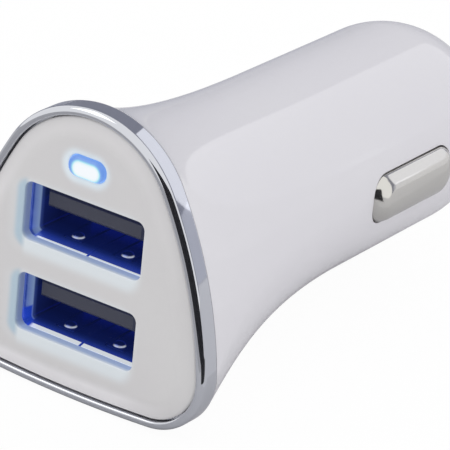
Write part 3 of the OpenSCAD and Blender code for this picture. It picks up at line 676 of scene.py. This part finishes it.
# Drawing the strip leaves fine lines along the plug, about 0.15 mm apart.
stretched = add(tree, "ShaderNodeMapping", {"Vector": place, "Scale": (1, 0.06, 1)})
lines = add(tree, "ShaderNodeTexNoise", {"Vector": stretched.outputs["Vector"],
                                         "Scale": 1 / (0.15 * mm), "Detail": 2.0})
relief = add(tree, "ShaderNodeBump", {"Height": lines.outputs["Fac"], "Strength": 0.08,
                                      "Distance": 0.02 * mm})
tree.links.new(relief.outputs["Normal"], shader.inputs["Normal"])
smear = add(tree, "ShaderNodeMapRange", {"Value": lines.outputs["Fac"], "To Min": 0.09,
            "To Max": 0.17})
tree.links.new(smear.outputs["Result"], shader.inputs["Roughness"])

contact_out, crown, rise = 1.05, 2.0, 1.4
end_ramp, ramp_round = 0.6, 0.7
pill_r, least_r = 2, 0.3
flange_x, flange_h, pressed_wall = 7.6, 0.5, 0.45
flange_l, flange_w = contact_l + 1.4, contact_w + 1.3
contact_top = barrel_r + contact_out


def pill(x, inset, short, shrink):
    """The contact's outline at a height x, shortened at the end that faces the head."""
    length = contact_l - 2 * shrink - short - inset
    width = contact_w - 2 * shrink - 2 * inset
    shape = rounded(length, width, max(least_r, min(pill_r - shrink - inset / 2, width / 2 - 0.02)))
    return [Vector((x, p.x + short / 2 - inset / 2, p.y)) for p in shape]


def pill_rings(low, shrink):
    """The pressed pill from a height low to its top, as outlines. Shrink moves it inwards."""
    rings = [pill(low, 0, 0, shrink)]
    for i in range(13):
        t = pi / 2 * i / 12
        rings.append(pill(contact_top - shrink - rise * (1 - sin(t)), crown * (1 - cos(t)),
                          end_ramp * sin(t) + ramp_round * (1 - cos(t)), shrink))
    return rings


for side, word in ((-1, "left"), (1, "right")):
    foot = [[Vector((x, p.x, p.y)) for p in rounded(flange_l, flange_w, pill_r)]
            for x in (flange_x + flange_h, flange_x)]
    hollow = pill_rings(flange_x, pressed_wall)
    bm = bmesh.new()
    rings = list(reversed(pill_rings(flange_x + flange_h, 0))) + foot + hollow
    skin(bm, [[Vector((side * p.x, p.y, p.z)) * mm for p in ring] for ring in rings])
    bmesh.ops.holes_fill(bm, edges=bm.edges, sides=0)
    contact = piece(bm, "side_contact_" + word, "contact_" + word, nickel)
    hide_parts("ground_contact_" + word)


# Centre pin. Brass turned on a lathe and nickel plated, with a flange that stops it in the
# nose, a round shank and a rounded end. A coil spring behind it pushes it out.
pin_r, pin_out, pin_round = 3.1, 5.8, 1.8
flange_r, flange_t, flange_gap = 4.6, 1.2, 0.02
spigot_y, spigot_root_r, spigot_tip_r = 1.6, 2.2, 1.9
pin_end = nose_end + pin_out
seat_y = pin_hole_y - flange_gap
flange_y = seat_y - flange_t
# Half its section, from the spigot inside the spring over the flange and the shank to the tip.
profile = [(0, flange_y - spigot_y), (spigot_tip_r, flange_y - spigot_y),
           (spigot_root_r, flange_y), (flange_r, flange_y), (flange_r, seat_y), (pin_r, seat_y),
           (pin_r, nose_end), (pin_r, pin_end - pin_round)]
profile += [(pin_r - pin_round * (1 - cos(t)), pin_end - pin_round * (1 - sin(t)))
            for t in [pi / 2 * i / 12 for i in range(1, 13)]]
profile += [(0, pin_end)]
bm = bmesh.new()
spots = [bm.verts.new(Vector((r, y - contact_y, 0)) * mm) for r, y in profile]
path = [bm.edges.new(pair) for pair in zip(spots, spots[1:])]
bmesh.ops.spin(bm, geom=spots + path, axis=(0, 1, 0), cent=(0, 0, 0), angle=2 * pi, steps=96,
               use_merge=True)
bmesh.ops.remove_doubles(bm, verts=bm.verts, dist=1e-7)
# The spin leaves its faces in another order each run, so they are put in order of their points.
bm.verts.index_update()
bm.faces.sort(key=lambda f: min(v.index for v in f.verts) * len(bm.verts)
              + max(v.index for v in f.verts))
pin = piece(bm, "turned_pin", "centre_pin", nickel)
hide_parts("tip_pin")


# Everything inside the shell keeps its solid. Boards are green-masked glass epoxy, parts are
# moulded epoxy, ferrite, enamelled copper, aluminium and tinned ceramic.
def grained(name, colour, other, size, relief_mm, **uniform):
    """A finish whose colour wavers between two tones over grains of a real size in mm."""
    made, tree, shader = finish_of(name, colour, **uniform)
    place = add(tree, "ShaderNodeTexCoord").outputs["Object"]
    grain = add(tree, "ShaderNodeTexNoise", {"Vector": place, "Scale": 1 / (size * mm),
                                             "Detail": 3.0})
    tone = add(tree, "ShaderNodeMix", {"Factor": grain.outputs["Fac"], 6: linear(colour),
                                       7: linear(other)}, data_type="RGBA")
    tree.links.new(tone.outputs[2], shader.inputs["Base Color"])
    relief = add(tree, "ShaderNodeBump", {"Height": grain.outputs["Fac"], "Strength": 0.4,
                                          "Distance": relief_mm * mm})
    tree.links.new(relief.outputs["Normal"], shader.inputs["Normal"])
    return made


finishes = {
    "port_steel": steel_with_painted_blue_light,
    "port_insulator": nylon,
    "gold_contact": grained("gold_flashed_bronze", "#D9AE55", "#E6C070", 0.2, 0.01,
                            Metallic=1.0, Roughness=0.22),
    "lamp_epoxy": grained("cast_lamp_epoxy", "#A8C8F0", "#BCD6F6", 1.0, 0.01, Roughness=0.15),
    "board": grained("solder_masked_board", "#14502C", "#1B6238", 0.4, 0.02, Roughness=0.35),
    "chip_black": grained("moulded_epoxy_package", "#19191B", "#242427", 0.15, 0.02,
                          Roughness=0.55),
    "ferrite": grained("sintered_ferrite", "#2B2B2E", "#3A3A3D", 0.25, 0.03, Roughness=0.65),
    "copper_wire": grained("enamelled_copper", "#A7592C", "#BC6C3A", 0.3, 0.02,
                           Metallic=1.0, Roughness=0.3),
    "can_aluminium": grained("drawn_aluminium", "#B9BBC0", "#C9CBD0", 0.3, 0.01,
                             Metallic=1.0, Roughness=0.35),
    "ceramic": grained("tinned_ceramic", "#B5A588", "#C9BCA4", 0.3, 0.02, Roughness=0.5),
    "spring_steel": grained("drawn_spring_steel", "#8C8C90", "#A2A2A6", 0.2, 0.01,
                            Metallic=1.0, Roughness=0.3),
    "bronze_leaf": grained("rolled_phosphor_bronze", "#B07C46", "#C08C54", 0.3, 0.01,
                           Metallic=1.0, Roughness=0.3),
    "brass_plate": grained("stamped_brass", "#C2A055", "#D0B068", 0.3, 0.01,
                           Metallic=1.0, Roughness=0.3),
}
for part in frame["record"]["subparts"]:
    if part["material_slot"] in finishes:
        node = nodes[part["node"]]
        node.data.materials.clear()
        node.data.materials.append(finishes[part["material_slot"]])
